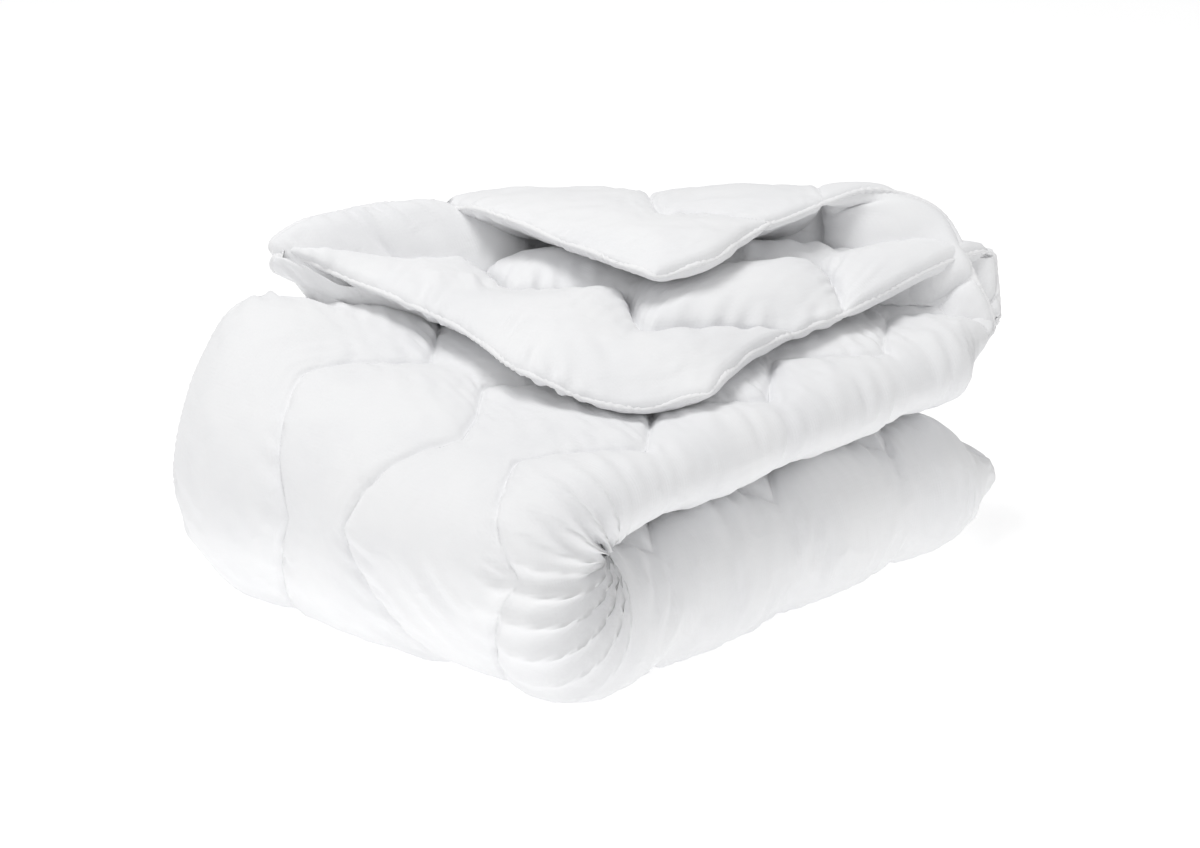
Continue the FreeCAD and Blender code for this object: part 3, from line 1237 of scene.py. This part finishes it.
@dataclass(frozen=True)
class CottonFinish:
    """Bleached, closely woven cotton with a soft, slightly creased surface."""

    name: str = "white_cotton"
    colour: tuple[float, float, float] = (0.880, 0.882, 0.890)
    shade: tuple[float, float, float] = (0.835, 0.838, 0.852)
    roughness: float = 0.85
    thread_pitch: float = 0.0007
    weave_depth: float = 0.00012
    crease_depth: float = 0.0035
    crease_scale: float = 26.0
    cloud_scale: float = 7.0
    cloud_edges: tuple[float, float] = (0.30, 0.62)

    def make(self) -> bpy.types.Material:
        """Builds the node material.

        Returns:
            A material with cloudy colour, fine creases and a plain weave on Object coordinates.
        """
        material = bpy.data.materials.new(self.name)
        material.use_nodes = True
        tree = material.node_tree
        nodes = {name: tree.nodes.new(f"ShaderNode{kind}") for name, kind in (
            ("place", "TexCoord"), ("cloud", "TexNoise"), ("ramp", "ValToRGB"),
            ("crease", "TexNoise"), ("soft", "Bump"), ("weave", "Bump"),
        )}
        nodes["shader"] = tree.nodes["Principled BSDF"]
        give(nodes["shader"], {
            "Roughness": self.roughness, "Sheen Weight": 0.25, "Sheen Roughness": 0.5})
        give(nodes["cloud"], {"Scale": self.cloud_scale, "Detail": 5.0})
        stops = zip(nodes["ramp"].color_ramp.elements, self.cloud_edges, (self.shade, self.colour))
        for stop, position, colour in stops:
            stop.position, stop.color = position, (*colour, 1.0)
        nodes["crease"].noise_type = "RIDGED_MULTIFRACTAL"
        give(nodes["crease"], {"Scale": self.crease_scale, "Detail": 3.0, "Distortion": 0.8})
        give(nodes["soft"], {"Strength": 0.35, "Distance": self.crease_depth})
        give(nodes["weave"], {"Strength": 0.5, "Distance": self.weave_depth})
        wire(tree, nodes, """
            place, Object, cloud, Vector
            cloud, Fac, ramp, Fac
            ramp, Color, shader, Base Color
            place, Object, crease, Vector
            crease, Fac, soft, Height
            soft, Normal, weave, Normal
            weave, Normal, shader, Normal
        """)
        tree.links.new(self.threads(tree, nodes["place"]), nodes["weave"].inputs["Height"])
        return material

    def threads(self, tree: bpy.types.NodeTree, place: bpy.types.Node) -> bpy.types.NodeSocket:
        """Adds up bands along the three axes, which cross as woven threads.

        Args:
            tree: the material's tree.
            place: the node with the Object coordinates.

        Returns:
            The output with the height.
        """
        total = None
        for axis in ("X", "Y", "Z"):
            wave = tree.nodes.new("ShaderNodeTexWave")
            wave.bands_direction = axis
            give(wave, {"Scale": 1.0 / (self.thread_pitch * BANDS_PER_SCALE), "Distortion": 0.4})
            tree.links.new(place.outputs["Object"], wave.inputs["Vector"])
            if total is None:
                total = wave.outputs["Fac"]
                continue
            add = tree.nodes.new("ShaderNodeMath")
            add.operation = "ADD"
            tree.links.new(total, add.inputs[0])
            tree.links.new(wave.outputs["Fac"], add.inputs[1])
            total = add.outputs["Value"]
        return total


@dataclass
class Studio:
    """The floor, the lights and the camera."""

    azimuth: float = -48.1
    elevation: float = 20.5
    distance: float = 6.324
    lens: float = 135.0
    sensor: float = 36.0
    shift: float = -0.016
    sky: float = 0.52
    glow: float = 0.38
    light_size: float = 1.6
    floor_side: float = 30.0
    target: tuple[float, float, float] = (-0.0855, -0.0718, 0.237)

    def build(self) -> None:
        """Makes the studio."""
        scene = bpy.context.scene
        az, el = math.radians(self.azimuth), math.radians(self.elevation)
        away = Vector((math.sin(az) * math.cos(el), -math.cos(az) * math.cos(el), math.sin(el)))
        data = bpy.data.cameras.new("camera")
        data.lens, data.sensor_width, data.shift_x = self.lens, self.sensor, self.shift
        camera = link_object("camera", data)
        camera.location = Vector(self.target) + away * self.distance
        camera.rotation_euler = away.to_track_quat("Z", "Y").to_euler()
        scene.camera = camera
        scene.view_settings.view_transform = "Standard"
        world = bpy.data.worlds.new("studio")
        scene.world = world
        world.use_nodes = True
        give(world.node_tree.nodes["Background"], {"Color": (1.0, 1.0, 1.0, 1.0),
                                                   "Strength": self.sky})
        self.floor()
        for name, place, power in (
            ("key_light", (-3.4, -0.9, 2.6), 12.0),
            ("top_light", (-0.6, 0.2, 3.6), 52.0),
        ):
            light = bpy.data.lights.new(name, "AREA")
            light.size, light.energy = self.light_size, power
            lamp = link_object(name, light)
            lamp.location = place
            aim = Vector(place) - Vector(self.target)
            lamp.rotation_euler = aim.to_track_quat("Z", "Y").to_euler()

    def floor(self) -> None:
        """A plain pale floor."""
        data = bpy.data.meshes.new("floor")
        side = self.floor_side
        corners = [(-side, -side, 0), (side, -side, 0), (side, side, 0), (-side, side, 0)]
        data.from_pydata(corners, [], [(0, 1, 2, 3)])
        floor = link_object("floor", data)
        material = bpy.data.materials.new("floor")
        material.use_nodes = True
        give(material.node_tree.nodes["Principled BSDF"], {
            "Base Color": (0.97, 0.97, 0.97, 1.0), "Roughness": 0.9,
            "Emission Color": (1.0, 1.0, 1.0, 1.0), "Emission Strength": self.glow})
        data.materials.append(material)


def main() -> None:
    """Builds the duvet and its studio."""
    logging.basicConfig(level=logging.INFO)
    Studio().build()
    fold = Fold()
    finishes = Finishes(
        CottonFinish().make(),
        CottonFinish("binding_cotton", colour=(0.895, 0.895, 0.900), shade=(0.85, 0.85, 0.86),
                     thread_pitch=0.0012, crease_depth=0.0012, crease_scale=120.0).make(),
        CottonFinish("sewing_thread", colour=(0.86, 0.86, 0.87), shade=(0.80, 0.80, 0.82),
                     roughness=0.6, thread_pitch=0.0004, crease_depth=0.0002,
                     crease_scale=300.0).make(),
    )
    stitches = StitchTree()
    for part in (
        Bundle(fold, finishes, stitches),
        second_corner(fold, finishes, stitches),
        top_corner(fold, finishes, stitches),
    ):
        for piece in part.build():
            LOG.info("%s: %d faces", piece.name, len(piece.data.polygons))


if __name__ == "__main__":
    main()
